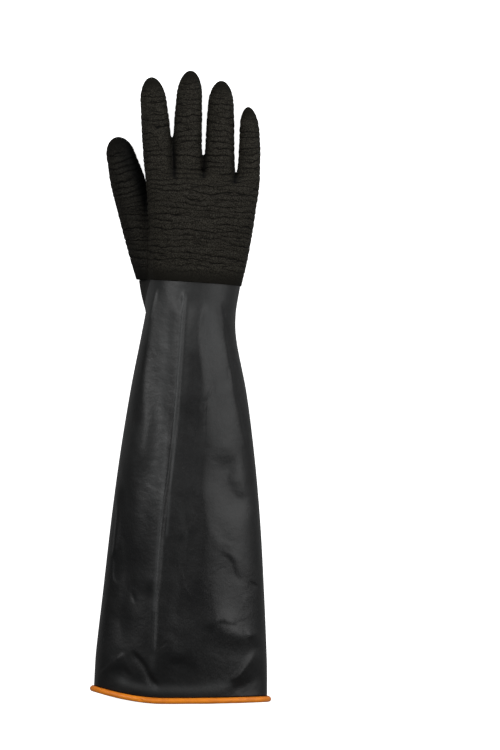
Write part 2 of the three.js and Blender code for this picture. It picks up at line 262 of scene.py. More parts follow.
# Each fold follows a smooth line through places (across, along) on the upper face: along goes from the
# rim (0) to the coat's edge (1), and across from the thumb side (-1) to the little finger's side (1).
# A row's numbers are the height, the width at both ends (all in millimetres), the sharpness and the
# lean, and then come the places. A sharp fold (up to 1) has a narrow crest with long shoulders, and a
# lean of more than 0 makes the side towards the little finger the steeper one.
folds = [
    # main ridge
    (1.2, (2.2, 2.2), 0, 0, [
        (-0.202, 0.983), (-0.181, 0.959), (-0.158, 0.909), (-0.156, 0.849), (-0.178, 0.785),
        (-0.198, 0.706), (-0.223, 0.63), (-0.258, 0.542), (-0.299, 0.468), (-0.324, 0.396),
        (-0.332, 0.321), (-0.339, 0.243), (-0.332, 0.167), (-0.327, 0.102)
    ]),
    # main ridge's shoulder
    (2.3, (5.5, 8), 0, 0.3, [
        (-0.258, 0.958), (-0.234, 0.909), (-0.227, 0.849), (-0.242, 0.785), (-0.255, 0.706),
        (-0.276, 0.63), (-0.308, 0.541), (-0.346, 0.468), (-0.37, 0.396), (-0.376, 0.321),
        (-0.382, 0.243)
    ]),
    # long valley
    (-1, (22, 19), 0, 0.6, [
        (0.241, 0.938), (0.068, 0.868), (0.133, 0.805), (0.138, 0.737), (0.118, 0.647), (0.121, 0.567),
        (0.066, 0.476), (-0.171, 0.416)
    ]),
    # left plateau
    (3.1, (7.7, 22), 0, 0.38, [
        (-0.891, 0.985), (-0.895, 0.827), (-0.791, 0.726), (-0.689, 0.664), (-0.692, 0.576),
        (-0.49, 0.522)
    ]),
    # left hollow
    (-3.8, (22, 22), 0, 0.47, [
        (-0.921, 0.569), (-0.943, 0.496), (-0.825, 0.387), (-0.765, 0.34), (-0.745, 0.296),
        (-0.76, 0.174), (-0.553, 0.108)
    ]),
    # valley floor's swell
    (-0.6, (5, 6), 0.2, 0.25, [
        (0.056, 0.457), (0.036, 0.345), (-0.017, 0.281), (-0.068, 0.172)
    ]),
    # second valley
    (-1.9, (16, 17), 0, 0.38, [
        (0.234, 0.515), (0.138, 0.45), (0.063, 0.345), (0.042, 0.271), (0.171, 0.117)
    ]),
    # right swell
    (1.3, (22, 22), 0, 0.6, [
        (0.198, 0.561), (0.204, 0.51), (0.25, 0.44), (0.438, 0.364), (0.677, 0.328)
    ]),
    # right upper swell
    (2, (5.7, 22), 0, 0.48, [
        (0.284, 0.961), (0.193, 0.877), (0.225, 0.775), (0.205, 0.652)
    ]),
    # low right swell
    (3, (18, 4.2), 0, 0.32, [
        (0.662, 0.237), (0.557, 0.184), (0.702, 0.158), (0.991, 0.149)
    ]),
    # right hollow
    (-3.2, (11, 14), 0.062, 0.21, [
        (0.71, 0.608), (0.566, 0.536), (0.659, 0.491), (0.949, 0.434)
    ]),
    # crest of the right side
    (0.9, (2.6, 2.6), 0, 0.6, [
        (0.588, 0.958), (0.671, 0.94), (0.754, 0.907), (0.781, 0.866), (0.79, 0.829), (0.799, 0.786),
        (0.794, 0.732), (0.834, 0.701), (0.857, 0.655), (0.893, 0.598)
    ]),
    # right edge hollow
    (-1.6, (3.6, 3.6), 0, 0, [
        (0.818, 0.911), (0.885, 0.849), (0.867, 0.767), (0.896, 0.695), (0.932, 0.627)
    ]),
    # tent crease
    (-0.5, (2.5, 2.9), 0.3, 0.05, [
        (0.455, 0.771), (0.435, 0.744), (0.368, 0.725), (0.263, 0.713), (0.252, 0.684)
    ]),
    # tent crest
    (0.55, (2.6, 5.5), 0.2, -0.6, [
        (0.529, 0.77), (0.414, 0.75), (0.346, 0.728), (0.307, 0.697), (0.294, 0.661), (0.297, 0.603)
    ]),
    # loop crease
    (-0.35, (1.6, 1.6), 0, 0.25, [
        (0.938, 0.83), (0.827, 0.798), (0.749, 0.796), (0.745, 0.758), (0.756, 0.764), (0.816, 0.757)
    ]),
    # short crest
    (0.5, (6.1, 3.5), 0, -0.15, [
        (0.147, 0.469), (0.094, 0.452), (0.089, 0.421), (-0.002, 0.402), (-0.044, 0.375)
    ]),
    # pinch crease
    (0.3, (1.6, 2), 0, 0.45, [
        (-0.013, 0.315), (0.007, 0.284), (0.08, 0.256), (0.124, 0.233)
    ]),
    # crescent crease
    (0.2, (2.2, 4.2), 0.41, -0.1, [
        (0.391, 0.364), (0.402, 0.371), (0.446, 0.382), (0.6, 0.371), (0.619, 0.386)
    ]),
    # slanting crest
    (0.5, (7.6, 7.6), 0, 0.6, [
        (0.548, 0.369), (0.604, 0.361), (0.713, 0.332), (0.84, 0.317), (0.928, 0.278)
    ]),
    # slanting hollow
    (-1.2, (5.8, 13), 0, 0.6, [
        (0.404, 0.358), (0.581, 0.335), (0.642, 0.296), (0.802, 0.27)
    ]),
    # nick below it
    (-1.1, (2.1, 2.1), 0, 0.6, [
        (0.808, 0.286), (0.864, 0.28), (0.95, 0.265)
    ]),
    # lower crease
    (-0.7, (5.7, 2.8), 0.28, 0.4, [
        (0.328, 0.161), (0.387, 0.164), (0.458, 0.184), (0.545, 0.181), (0.697, 0.171), (0.767, 0.159),
        (0.803, 0.143), (0.903, 0.153), (0.973, 0.165)
    ]),
    # lower crease's lip
    (0.8, (6.8, 6.8), 0, -0.1, [
        (0.303, 0.162), (0.403, 0.193), (0.519, 0.201)
    ]),
    # slanting valley
    (-2, (13, 8.4), 0, -0.35, [
        (0.992, 0.099), (0.944, 0.066), (0.84, 0.038), (0.669, 0.018), (0.611, 0.01), (0.492, 0.01)
    ]),
    # slanting valley's crest
    (1.5, (6.2, 2.6), 0.3, -0.25, [
        (0.921, 0.122), (0.813, 0.092), (0.719, 0.066), (0.638, 0.049), (0.552, 0.041)
    ]),
    # tent's left crest
    (1.1, (2.8, 3.7), 0, 0.6, [
        (-0.951, 0.032), (-0.847, 0.06), (-0.776, 0.081), (-0.684, 0.099), (-0.624, 0.106)
    ]),
    # tent's hollow
    (-0.9, (10, 7.5), 0, 0.6, [
        (-0.704, 0.077), (-0.638, 0.056), (-0.538, 0.043)
    ]),
    # tent's right crease
    (-1.5, (2.6, 3.6), 0, 0.28, [
        (-0.582, 0.115), (-0.471, 0.09), (-0.412, 0.075), (-0.343, 0.049), (-0.226, 0.017)
    ]),
    # tent's right crest
    (0.2, (3, 4), 0.17, 0.6, [
        (-0.483, 0.053), (-0.428, 0.043), (-0.34, 0.022)
    ]),
    # left edge crest
    (1.9, (4, 1.6), 0.15, -0.6, [
        (-0.964, 0.524), (-0.982, 0.496), (-0.929, 0.448), (-0.918, 0.386), (-0.924, 0.341)
    ]),
    # left edge crease
    (-1.2, (6.5, 4.4), 0, -0.6, [
        (-1.01, 0.349), (-0.888, 0.334), (-0.864, 0.295), (-0.789, 0.27)
    ]),
    # small left crease
    (-0.8, (2.1, 2.1), 0.35, -0.05, [
        (-0.665, 0.263), (-0.617, 0.251), (-0.572, 0.225)
    ]),
    # dark patch
    (-1.2, (10, 10), 0, 0.42, [
        (-0.171, 0.09), (-0.022, 0.082), (0.133, 0.106)
    ]),
    # dark patch's crest
    (0.65, (3.4, 10), 0, 0.075, [
        (-0.266, 0.149), (-0.131, 0.142), (-0.083, 0.11), (0.084, 0.139)
    ]),
    # left top crest
    (1.5, (3, 3), 0, 0.25, [
        (-0.866, 0.992), (-0.852, 0.966), (-0.887, 0.933), (-0.902, 0.89)
    ]),
]


def spline_through(places, count=60):
    """A smooth line through a few places, as Catmull and Rom draw it."""
    p = np.array([places[0], *places, places[-1]], float)
    out = []
    for k in range(1, len(p) - 2):
        u = np.linspace(0, 1, count // (len(places) - 1), endpoint=False)[:, None]
        a, b, c, d = p[k - 1], p[k], p[k + 1], p[k + 2]
        out.append(
            0.5 * (2 * b + (c - a) * u + (2 * a - 5 * b + 4 * c - d) * u**2 + (3 * b - a - 3 * c + d) * u**3)
        )
    return np.concatenate([*out, p[-1:]])


def sum_of_lines(lines, s, x, inner=False):
    """Height that all the lines add, from the distance of each point to each line. The inner face is
    coarser, so only the hollows reach it, and wider, which keeps a wall everywhere."""
    rise = np.zeros_like(s)
    flat = rise.reshape(-1)
    points = np.stack([x, s], axis=-1).reshape(-1, 2)
    for height, width_range, sharpness, lean, places in lines:
        if inner and height > 0:
            continue
        line = spline_through(places)
        at = line[:, 1] * sleeve_length
        here = tube_section(at)
        line = np.stack([here["middle"] + line[:, 0] * here["half_width"], at], axis=-1)
        widths = np.maximum(width_range, widest_inside * inner) * MM
        reach = 3 * widths.max()
        near = np.all((points > line.min(0) - reach) & (points < line.max(0) + reach), axis=1)
        p = points[near]
        step = line[1:] - line[:-1]
        length = np.maximum(np.linalg.norm(step, axis=1), 1e-9)
        total = np.cumsum(length)
        best = np.full(len(p), 1e9)
        side = np.zeros(len(p))
        along = np.zeros(len(p))
        for k in range(len(step)):
            to = p - line[k]
            t = np.clip((to @ step[k]) / length[k] ** 2, 0, 1)
            d = np.linalg.norm(to - t[:, None] * step[k], axis=1)
            closer = d < best
            best[closer] = d[closer]
            side[closer] = np.sign(to[:, 1] * step[k][0] - to[:, 0] * step[k][1])[closer]
            along[closer] = (total[k] - length[k] + t[closer] * length[k]) / total[-1]
        width = mix(widths[0], widths[1], along)
        q = best / (width * (1 - lean * side))
        shape = mix(np.exp(-(q**2)), np.exp(-1.6 * q), sharpness)
        to_end = np.minimum(along, 1 - along) * total[-1] / np.minimum(1.6 * width + 6 * MM, total[-1] / 2)
        fade = np.sin(np.clip(to_end, 0, 1) * np.pi / 2) ** 2
        flat[near] += height * fade * shape
    return rise


def smooth_noise(x, y, scale, seed):
    """A soft random height over a plane, the same on each run."""
    table = np.random.default_rng(seed).uniform(-1, 1, (64, 64))
    u, v = x / scale + 32, y / scale + 32
    i, j = np.floor(u).astype(int), np.floor(v).astype(int)
    a, b = u - i, v - j
    a, b = a * a * (3 - 2 * a), b * b * (3 - 2 * b)

    def at(m, n):
        return table[(i + m) % 64, (j + n) % 64]

    return mix(mix(at(0, 0), at(1, 0), a), mix(at(0, 1), at(1, 1), a), b)


def slack_rise(s, x, inner=False):
    """The folds, with the shallow buckles of slack rubber all over, fading at the rim and the wrist."""
    ends = np.clip(s / rim_calm, 0, 1) * np.clip((sleeve_length - s) / wrist_calm, 0, 1)
    swell = sum(height * smooth_noise(x, s * stretch, size, seed) for height, size, stretch, seed in buckles)
    return (sum_of_lines(folds, s, x, inner) + (swell - inner_drop * inner) * ends) * MM


even = np.concatenate([
    np.pi * np.arange(upper_sides) / upper_sides,
    np.pi * (1 + np.arange(lower_sides) / lower_sides),
])
angles = even + ring_crowding * np.sin(2 * even)
outside = tube_points(np.linspace(0, lap_end, outer_rings), angles, 0, slack_rise)
inside = tube_points(
    np.linspace(lap_end, 0, inner_rings), angles, -sleeve_wall, lambda s, x: slack_rise(s, x, True)
)
rings = np.concatenate([outside, inside])
sides = len(angles)
points = rings.reshape(-1, 3)
faces = np.array(grid_faces(len(rings) + 1, sides))
faces = (faces % len(points))[:, ::-1].tolist()
sleeve = new_piece("sleeve", points, faces)


def store(mesh, name, kind, values):
    attribute = mesh.attributes.new(name, kind, "POINT")
    field = "vector" if kind == "FLOAT_VECTOR" else "value"
    attribute.data.foreach_set(field, np.ravel(values).astype(np.float32))


# On the thumb side the crinkle coat runs a little lower, in a tongue round the ball of the thumb.
reach = np.linspace(0, lap_end, outer_rings)[:, None]
tongue_share = np.clip((sleeve_length - reach) / tongue_length, 0, 1)
turned = np.degrees(angles)[None, :]
tongue = np.minimum(turned - tongue_start - tongue_slant * tongue_share, tongue_end - turned)
tongue = np.where(tongue_share < 1, np.clip(tongue / tongue_soft, 0, 1), 0)
store(sleeve.data, "tongue", "FLOAT", np.concatenate([tongue.ravel(), np.zeros(inside.size // 3)]))

# Painted highlights and painted shade on the upper face: a pale grey painted along the crests where they
# catch the light, and the hollows painted black as shade. The rows are those of the folds, but the first
# number is the share of painted highlight that a line adds, or of paleness that it takes away as painted
# shade where it is below 0.
painted_light_lines = [
    # ridge line
    (0.42, (2, 1.6), 0, 0, [
        (-0.202, 0.983), (-0.172, 0.945), (-0.158, 0.909), (-0.153, 0.861), (-0.171, 0.809),
        (-0.189, 0.742), (-0.199, 0.67), (-0.202, 0.599), (-0.214, 0.527), (-0.229, 0.456),
        (-0.242, 0.384)
    ]),
    # ridge's lower line
    (0.27, (2.2, 2.2), 0, 0, [
        (-0.328, 0.658), (-0.311, 0.599), (-0.313, 0.527), (-0.319, 0.456), (-0.333, 0.384),
        (-0.337, 0.312), (-0.34, 0.238), (-0.336, 0.202)
    ]),
    # ridge's foot
    (0.16, (2.2, 3.2), 0, 0, [
        (-0.313, 0.527), (-0.319, 0.456), (-0.333, 0.384), (-0.337, 0.312), (-0.34, 0.238),
        (-0.332, 0.164), (-0.327, 0.102), (-0.324, 0.059)
    ]),
    # between the two lines
    (-0.8, (1.5, 1.5), 0, 0, [
        (-0.265, 0.849), (-0.272, 0.801), (-0.275, 0.742), (-0.265, 0.67), (-0.254, 0.599),
        (-0.252, 0.527), (-0.269, 0.456), (-0.281, 0.384)
    ]),
    # left of the ridge
    (0.23, (8, 7), 0, 0, [
        (-0.483, 0.907), (-0.462, 0.848), (-0.445, 0.784), (-0.436, 0.705), (-0.433, 0.629),
        (-0.442, 0.541), (-0.466, 0.467)
    ]),
    # far left
    (-0.9, (9, 9), 0, 0, [
        (-0.816, 0.882), (-0.797, 0.811), (-0.775, 0.728), (-0.779, 0.645)
    ]),
    # long hollow
    (-1.1, (7, 9), 0, 0, [
        (0.118, 0.851), (0.115, 0.779), (0.086, 0.695), (0.059, 0.623), (0.01, 0.54), (-0.062, 0.468)
    ]),
    # second hollow
    (-0.6, (8, 8), 0, 0, [
        (0.348, 0.624), (0.31, 0.552), (0.264, 0.48), (0.239, 0.384), (0.206, 0.288), (0.178, 0.19)
    ]),
    # right of the ridge's top
    (0.24, (9, 9), 0, 0, [
        (0.27, 0.969), (0.437, 0.925), (0.511, 0.865), (0.487, 0.805)
    ]),
    # right swell
    (-1, (9, 9), 0, 0, [
        (0.453, 0.552), (0.515, 0.505), (0.575, 0.457)
    ]),
    # low right swell
    (-1, (9, 9), 0, 0, [
        (0.48, 0.263), (0.601, 0.234), (0.732, 0.21)
    ]),
    # right edge
    (-1.1, (4, 4), 0, 0, [
        (0.621, 0.972), (0.775, 0.91), (0.836, 0.843), (0.82, 0.758), (0.85, 0.674), (0.89, 0.589),
        (0.905, 0.505)
    ]),
    # left edge
    (-0.6, (5, 5), 0, 0, [
        (-0.933, 0.526), (-0.924, 0.455), (-0.931, 0.383), (-0.928, 0.31), (-0.925, 0.235)
    ]),
    # rim band
    (0.45, (4, 5), 0, 0, [
        (-0.785, 0.038), (-0.576, 0.026), (-0.232, 0.022), (0.227, 0.022), (0.628, 0.035)
    ]),
]
here = tube_section(reach)
flat_x = here["middle"] + signed_power(np.cos(angles), side_fullness) * here["half_width"]
upper_face = np.clip(4 * np.sin(angles), 0, 1)  # 0 on the underside, which gets no painted highlight or shade
# Painted highlight along the crests and painted shade in the hollows, on the upper face only.
painted_light = sum_of_lines(painted_light_lines, reach + 0 * flat_x, flat_x) * upper_face
store(sleeve.data, "painted_light", "FLOAT", np.concatenate([painted_light.ravel(), np.zeros(inside.size // 3)]))


# Short ways to write a node tree.
def add_node(tree, kind, inputs=None, **settings):
    node = tree.nodes.new(kind)
    for name, value in settings.items():
        setattr(node, name, value)
    for name, value in (inputs or {}).items():
        if isinstance(value, bpy.types.NodeSocket):
            tree.links.new(value, node.inputs[name])
        else:
            node.inputs[name].default_value = value
    return node


def noise(tree, place, scale, detail=2.0, roughness=0.5, distortion=0.0):
    inputs = {"Vector": place, "Scale": scale, "Detail": detail}
    inputs.update({"Roughness": roughness, "Distortion": distortion})
    return add_node(tree, "ShaderNodeTexNoise", inputs).outputs["Fac"]


def maths(tree, operation, *values):
    node = add_node(tree, "ShaderNodeMath", operation=operation)
    for socket, value in zip(node.inputs, values):
        if isinstance(value, bpy.types.NodeSocket):
            tree.links.new(value, socket)
        else:
            socket.default_value = value
    return node.outputs[0]


def ramp(tree, value, low, high, to_low=0.0, to_high=1.0):
    inputs = {"Value": value, "From Min": low, "From Max": high, "To Min": to_low, "To Max": to_high}
    return add_node(tree, "ShaderNodeMapRange", inputs, interpolation_type="SMOOTHSTEP").outputs["Result"]


def blend_colour(tree, factor, a, b):
    node = add_node(tree, "ShaderNodeMix", data_type="RGBA")
    for index, value in ((0, factor), (6, a), (7, b)):
        if isinstance(value, bpy.types.NodeSocket):
            tree.links.new(value, node.inputs[index])
        else:
            node.inputs[index].default_value = value
    return node.outputs[2]


def new_material(name, specular):
    """A material whose Principled shader is ready, with the constants set on its own sockets."""
    material = bpy.data.materials.new(name)
    material.use_nodes = True
    tree = material.node_tree
    shader = tree.nodes["Principled BSDF"]
    shader.inputs["Specular IOR Level"].default_value = specular
    return material, tree, shader


def object_place(tree):
    return add_node(tree, "ShaderNodeTexCoord").outputs["Object"]


def stored_value(tree, name, output="Fac"):
    node = add_node(tree, "ShaderNodeAttribute", attribute_name=name, attribute_type="GEOMETRY")
    return node.outputs[output]


# Dipped rubber is never quite even: it has cloudy patches, a fine orange-peel skin and specks of dust
# and talc. All of this glove's finishes share this group.
dipped_skin = bpy.data.node_groups.new("dipped skin", "ShaderNodeTree")
for name, low in (("Cloud Scale", 30.0), ("Skin Scale", 900.0), ("Dust Scale", 700.0), ("Dust Share", 0.1)):
    socket = dipped_skin.interface.new_socket(name=name, in_out="INPUT", socket_type="NodeSocketFloat")
    socket.default_value = low
dipped_skin.interface.new_socket(name="Place", in_out="INPUT", socket_type="NodeSocketVector")
for name in ("Cloud", "Skin", "Dust"):
    dipped_skin.interface.new_socket(name=name, in_out="OUTPUT", socket_type="NodeSocketFloat")
way_in = dipped_skin.nodes.new("NodeGroupInput").outputs
way_out = dipped_skin.nodes.new("NodeGroupOutput").inputs
cloud = noise(dipped_skin, way_in["Place"], way_in["Cloud Scale"], 4.0, 0.6, 0.3)
skin = noise(dipped_skin, way_in["Place"], way_in["Skin Scale"], 2.0, 0.5)
dust = noise(dipped_skin, way_in["Place"], way_in["Dust Scale"], 3.0, 0.75)
dust_edge = maths(dipped_skin, "SUBTRACT", 0.78, maths(dipped_skin, "MULTIPLY", way_in["Dust Share"], 0.3))
dipped_skin.links.new(ramp(dipped_skin, cloud, 0.3, 0.7), way_out["Cloud"])
dipped_skin.links.new(skin, way_out["Skin"])
dipped_skin.links.new(
    maths(dipped_skin, "MULTIPLY", maths(dipped_skin, "GREATER_THAN", dust, dust_edge), way_in["Dust Share"]),
    way_out["Dust"],
)


def add_skin(tree, place, cloud_scale, skin_scale, dust_scale, dust_share):
    node = add_node(tree, "ShaderNodeGroup", node_tree=dipped_skin)
    for name, value in (
        ("Cloud Scale", cloud_scale),
        ("Skin Scale", skin_scale),
        ("Dust Scale", dust_scale),
        ("Dust Share", dust_share),
    ):
        node.inputs[name].default_value = value
    tree.links.new(place, node.inputs["Place"])
    return node.outputs


black_dip = (0.0034, 0.0036, 0.0038, 1)
pale_grey = (0.0135, 0.0142, 0.0142, 1)
# pale grey painted on the crests as a highlight
painted_highlight_grey = (0.06, 0.062, 0.063, 1)
dust_grey = (0.05, 0.05, 0.047, 1)
coat_brown = (0.0042, 0.0037, 0.0026, 1)
orange_dip = (0.46, 0.13, 0.022, 1)
orange_dip_worn = (0.30, 0.085, 0.02, 1)

satin_black, tree, shader = new_material("satin black rubber", specular=0.36)
place = object_place(tree)
skin = add_skin(tree, place, 22.0, 1100.0, 520.0, 0.35)
# The sleeve is paler grey towards the wrist, in long streaks, and in cloudy patches all over.
along = add_node(tree, "ShaderNodeSeparateXYZ", {"Vector": place}).outputs["Y"]
towards_wrist = ramp(tree, along, -0.22, 0.1)
drawn_out = add_node(tree, "ShaderNodeMapping", {"Vector": place, "Scale": (1, 0.25, 1)}).outputs[0]
streaks = noise(tree, drawn_out, 60.0, 3.0, 0.6)
paleness = maths(tree, "MULTIPLY", towards_wrist, ramp(tree, streaks, 0.25, 0.75, 0.55, 1.0))
paleness = maths(tree, "ADD", paleness, maths(tree, "MULTIPLY", skin["Cloud"], 0.15))
# Painted light: lines below 0 take paleness away as painted shade, and the others blend in the painted
# highlight grey.
painted_light_share = stored_value(tree, "painted_light")
paleness = maths(tree, "ADD", paleness, maths(tree, "MINIMUM", painted_light_share, 0.0))
colour = blend_colour(tree, paleness, black_dip, pale_grey)
colour = blend_colour(tree, painted_light_share, colour, painted_highlight_grey)
colour = blend_colour(tree, skin["Dust"], colour, dust_grey)
coated = stored_value(tree, "tongue")
colour = blend_colour(tree, coated, colour, coat_brown)
tree.links.new(colour, shader.inputs["Base Color"])
rough = maths(tree, "ADD", maths(tree, "MULTIPLY", skin["Cloud"], 0.08), 0.36)
rough = maths(tree, "ADD", rough, maths(tree, "MULTIPLY", coated, 0.35))
rough = maths(tree, "ADD", rough, maths(tree, "MULTIPLY", towards_wrist, 0.06))
tree.links.new(rough, shader.inputs["Roughness"])
fine = add_node(tree, "ShaderNodeBump", {"Height": skin["Skin"], "Strength": 0.25, "Distance": 0.0001})
patches = noise(tree, place, 120.0, 3.0, 0.55)
broad = add_node(tree, "ShaderNodeBump", {
    "Height": patches, "Strength": 0.5, "Distance": 0.0007, "Normal": fine.outputs[0],
})
tree.links.new(broad.outputs[0], shader.inputs["Normal"])

orange_inside, tree, shader = new_material("orange dip inside", specular=0.4)
place = object_place(tree)
skin = add_skin(tree, place, 35.0, 900.0, 600.0, 0.3)
colour = blend_colour(tree, skin["Cloud"], orange_dip, orange_dip_worn)
tree.links.new(blend_colour(tree, skin["Dust"], colour, dust_grey), shader.inputs["Base Color"])
tree.links.new(ramp(tree, skin["Cloud"], 0.0, 1.0, 0.5, 0.62), shader.inputs["Roughness"])
bump = add_node(tree, "ShaderNodeBump", {"Height": skin["Skin"], "Strength": 0.35, "Distance": 0.0002})
tree.links.new(bump.outputs[0], shader.inputs["Normal"])


def face_materials(piece, materials, index_of_face):
    piece.data.materials.clear()
    for material in materials:
        piece.data.materials.append(material)
    piece.data.polygons.foreach_set("material_index", np.asarray(index_of_face, np.int32))


inner_first = (outer_rings - 1) * sides
inner = np.arange(len(faces)) >= inner_first
face_materials(sleeve, (satin_black, orange_inside), inner.astype(int))
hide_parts("gauntlet_sleeve")
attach(sleeve, "root")


# The bead is the rubber's own edge rolled back on itself while wet, so it is a round orange cord that
# is never quite even, and it has a small nick on its top where the roll's two ends meet.
bead_clearance = 0.3 * MM
bead_points = 420
bead_unevenness = 0.35 * MM
bead_sides = 20
lump_size = 0.02
join_across = -37 * MM
join_width = 0.0028
join_depth = 0.0014

rim_angles = np.linspace(0, 2 * np.pi, bead_points, endpoint=False)
rim = tube_points(np.zeros(1), rim_angles + ring_crowding * np.sin(2 * rim_angles), 0)[0]
rim_step = np.roll(rim, -1, axis=0) - np.roll(rim, 1, axis=0)
outward = np.stack([rim_step[:, 2], np.zeros(bead_points), -rim_step[:, 0]], axis=-1)
outward /= np.linalg.norm(outward, axis=1)[:, None]
bead_drop = math.sqrt((bead_diameter / 2 + bead_clearance) ** 2 - bead_stand_out**2)
bead_path = rim + outward * bead_stand_out - np.array([0, bead_drop, 0])

on_top = bead_path[bead_path[:, 2] > bead_high.z / 2]
join_place = on_top[np.argmin(np.abs(on_top[:, 0] - join_across))] + np.array([0, 0, bead_diameter / 2])

path_mesh = bpy.data.meshes.new("bead path")
path_mesh.from_pydata(bead_path.tolist(), [(i, (i + 1) % bead_points) for i in range(bead_points)], [])
bead_maker = bpy.data.objects.new("bead path", path_mesh)
bpy.context.scene.collection.objects.link(bead_maker)

bead_rubber, tree, shader = new_material("orange rolled rubber", specular=0.3)
bead_orange = (0.88, 0.265, 0.017, 1)
bead_shade = (0.7, 0.185, 0.014, 1)
place = object_place(tree)
skin = add_skin(tree, place, 60.0, 1000.0, 800.0, 0.35)
colour = blend_colour(tree, skin["Cloud"], bead_orange, bead_shade)
tree.links.new(blend_colour(tree, skin["Dust"], colour, dust_grey), shader.inputs["Base Color"])
tree.links.new(ramp(tree, skin["Cloud"], 0.0, 1.0, 0.34, 0.46), shader.inputs["Roughness"])
ripples = noise(tree, place, 260.0, 3.0, 0.6)
bump = add_node(tree, "ShaderNodeBump", {"Height": ripples, "Strength": 0.5, "Distance": 0.0006})
tree.links.new(bump.outputs[0], shader.inputs["Normal"])


def tree_inputs(tree, sizes):
    """Named inputs of a Geometry Nodes tree, with the mesh first."""
    tree.interface.new_socket(name="Mesh", in_out="INPUT", socket_type="NodeSocketGeometry")
    tree.interface.new_socket(name="Mesh", in_out="OUTPUT", socket_type="NodeSocketGeometry")
    for name, (kind, value) in sizes.items():
        socket = tree.interface.new_socket(name=name, in_out="INPUT", socket_type=kind)
        if value is not None:
            socket.default_value = value
    return tree.nodes.new("NodeGroupInput").outputs, tree.nodes.new("NodeGroupOutput").inputs


def raised(tree, geometry, rise):
    """Nodes that move each point along its normal."""
    offset = add_node(tree, "ShaderNodeVectorMath", operation="SCALE")
    tree.links.new(add_node(tree, "GeometryNodeInputNormal").outputs[0], offset.inputs[0])
    tree.links.new(rise, offset.inputs["Scale"])
    inputs = {"Geometry": geometry, "Offset": offset.outputs[0]}
    return add_node(tree, "GeometryNodeSetPosition", inputs).outputs[0]


def dressed(tree, geometry, rubber):
    """Nodes that make a plain mesh of the geometry and give it its material."""
    real = add_node(tree, "GeometryNodeRealizeInstances", {"Geometry": geometry}).outputs[0]
    return add_node(tree, "GeometryNodeSetMaterial", {"Geometry": real, "Material": rubber}).outputs[0]


def apply_tree(maker, tree, name, values):
    """A plain mesh piece from a Geometry Nodes tree, whose inputs are set before it is evaluated."""
    modifier = maker.modifiers.new("shape", "NODES")
    modifier.node_group = tree
    for item in tree.interface.items_tree:
        if item.in_out == "INPUT" and item.name in values:
            modifier[item.identifier] = values[item.name]
    result = bpy.data.meshes.new_from_object(maker.evaluated_get(bpy.context.evaluated_depsgraph_get()))
    result.name = name
    piece = bpy.data.objects.new(name, result)
    bpy.context.scene.collection.objects.link(piece)
    bpy.data.objects.remove(maker)
    return piece


roll = bpy.data.node_groups.new("rolled edge", "GeometryNodeTree")
way_in, way_out = tree_inputs(roll, {
    "Diameter": ("NodeSocketFloat", bead_diameter),
    "Sides": ("NodeSocketInt", bead_sides),
    "Unevenness": ("NodeSocketFloat", bead_unevenness),
    "Lump Size": ("NodeSocketFloat", lump_size),
    "Join Place": ("NodeSocketVector", tuple(join_place)),
    "Join Width": ("NodeSocketFloat", join_width),
    "Join Depth": ("NodeSocketFloat", join_depth),
    "Rubber": ("NodeSocketMaterial", None),
})
path = add_node(roll, "GeometryNodeMeshToCurve", {"Mesh": way_in["Mesh"]}).outputs[0]
half = maths(roll, "MULTIPLY", way_in["Diameter"], 0.5)
round_section = {"Resolution": way_in["Sides"], "Radius": half}
section = add_node(roll, "GeometryNodeCurvePrimitiveCircle", round_section).outputs[0]
tube = add_node(roll, "GeometryNodeCurveToMesh", {"Curve": path, "Profile Curve": section}).outputs[0]
position = add_node(roll, "GeometryNodeInputPosition").outputs[0]
lumps = noise(roll, position, maths(roll, "DIVIDE", 1.0, way_in["Lump Size"]), 2.0, 0.5)
swell = maths(roll, "MULTIPLY", maths(roll, "SUBTRACT", lumps, 0.5), way_in["Unevenness"])
ends = {0: position, 1: way_in["Join Place"]}
from_join = add_node(roll, "ShaderNodeVectorMath", ends, operation="DISTANCE").outputs["Value"]
in_join = maths(roll, "SUBTRACT", 1.0, maths(roll, "DIVIDE", from_join, way_in["Join Width"]))
nick = maths(roll, "MULTIPLY", maths(roll, "MAXIMUM", in_join, 0.0), way_in["Join Depth"])
swell = maths(roll, "SUBTRACT", swell, nick)
uneven = raised(roll, tube, swell)
soft = add_node(roll, "GeometryNodeSetShadeSmooth", {"Geometry": uneven}).outputs[0]
roll.links.new(dressed(roll, soft, way_in["Rubber"]), way_out["Mesh"])
bead = apply_tree(bead_maker, roll, "bead", {"Rubber": bead_rubber})


def outward_faces(piece):
    mesh = bmesh.new()
    mesh.from_mesh(piece.data)
    bmesh.ops.remove_doubles(mesh, verts=mesh.verts, dist=1e-6)
    bmesh.ops.recalc_face_normals(mesh, faces=mesh.faces)
    mesh.to_mesh(piece.data)
    mesh.free()
    piece.data.shade_smooth()


outward_faces(bead)
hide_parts("rolled_bead")
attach(bead, "root")


# The hand is one dipped moulding, whose last coat is crinkled by a solvent wash for grip: a skin of soft
# pillows between wavy grooves that run across the palm and round each finger. The coat ends in a low
# step at the wrist, and the sleeve's upper end runs a little way inside it.
finger_tip_length = 26 * MM
thumb_tip_length = 20 * MM
finger_root_height = 29 * MM
finger_droop = 21 * MM
stall_flatness = 0.92
thumb_flatness = 0.78
thumb_shade_height = 31 * MM  # the thumb side below this lies under the hand and is painted in shade
thumb_ball_length = 42 * MM  # how far the thumb's body runs back from its root
stall_sides = 40
hand_wall = 2.1 * MM
coat_edge = 0.75 * MM
shrinkage = 0.15 * MM  # what the rounding takes off
voxel = 1.05 * MM
inner_voxel = 2.4 * MM

